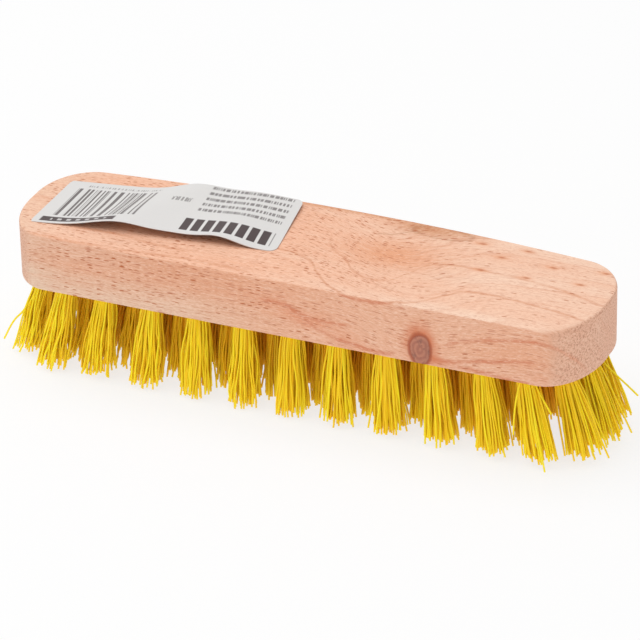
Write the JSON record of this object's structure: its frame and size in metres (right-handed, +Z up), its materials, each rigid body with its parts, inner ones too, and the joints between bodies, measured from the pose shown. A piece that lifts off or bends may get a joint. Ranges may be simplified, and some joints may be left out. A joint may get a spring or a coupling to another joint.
{
  "type": "scrub brush",
  "caption": "Hand scrub brush: a round-ended softwood block drilled with staggered rows of stiff plastic bristle tufts that splay outwards, with a buckled paper label on its back.",
  "frame": {"origin": "centre of the whole brush's box, on the ground plane that the cut bristle tips stand on", "axes": "+X along the block's length, +Y towards the bowed long side, +Z up from the bristle tips to the labelled back"},
  "size_m": [0.2302, 0.059, 0.0604],
  "materials": {
    "wood_block": "sanded, unvarnished",
    "bristle_plastic": "smooth drawn filament",
    "anchor_wire": "drawn flat wire",
    "label_paper": "coated paper"
  },
  "bodies": {
    "root": {"brush_block": "wood_block", "paper_label": "label_paper", "tuft_anchors": "anchor_wire", "tuft_row1_01": "bristle_plastic", "tuft_row1_02": "bristle_plastic", "tuft_row1_03": "bristle_plastic", "tuft_row1_04": "bristle_plastic", "tuft_row1_05": "bristle_plastic", "tuft_row1_06": "bristle_plastic", "tuft_row1_07": "bristle_plastic", "tuft_row1_08": "bristle_plastic", "tuft_row1_09": "bristle_plastic", "tuft_row1_10": "bristle_plastic", "tuft_row1_11": "bristle_plastic", "tuft_row2_01": "bristle_plastic", "tuft_row2_02": "bristle_plastic", "tuft_row2_03": "bristle_plastic", "tuft_row2_04": "bristle_plastic", "tuft_row2_05": "bristle_plastic", "tuft_row2_06": "bristle_plastic", "tuft_row2_07": "bristle_plastic", "tuft_row2_08": "bristle_plastic", "tuft_row2_09": "bristle_plastic", "tuft_row2_10": "bristle_plastic", "tuft_row2_11": "bristle_plastic", "tuft_row2_12": "bristle_plastic", "tuft_row3_01": "bristle_plastic", "tuft_row3_02": "bristle_plastic", "tuft_row3_03": "bristle_plastic", "tuft_row3_04": "bristle_plastic", "tuft_row3_05": "bristle_plastic", "tuft_row3_06": "bristle_plastic", "tuft_row3_07": "bristle_plastic", "tuft_row3_08": "bristle_plastic", "tuft_row3_09": "bristle_plastic", "tuft_row3_10": "bristle_plastic", "tuft_row3_11": "bristle_plastic", "tuft_row4_01": "bristle_plastic", "tuft_row4_02": "bristle_plastic", "tuft_row4_03": "bristle_plastic", "tuft_row4_04": "bristle_plastic", "tuft_row4_05": "bristle_plastic", "tuft_row4_06": "bristle_plastic", "tuft_row4_07": "bristle_plastic", "tuft_row4_08": "bristle_plastic", "tuft_row4_09": "bristle_plastic", "tuft_row4_10": "bristle_plastic", "tuft_row4_11": "bristle_plastic", "tuft_row4_12": "bristle_plastic", "tuft_row5_01": "bristle_plastic", "tuft_row5_02": "bristle_plastic", "tuft_row5_03": "bristle_plastic", "tuft_row5_04": "bristle_plastic", "tuft_row5_05": "bristle_plastic", "tuft_row5_06": "bristle_plastic", "tuft_row5_07": "bristle_plastic", "tuft_row5_08": "bristle_plastic", "tuft_row5_09": "bristle_plastic", "tuft_row5_10": "bristle_plastic", "tuft_row5_11": "bristle_plastic"}
  },
  "joints": []
}
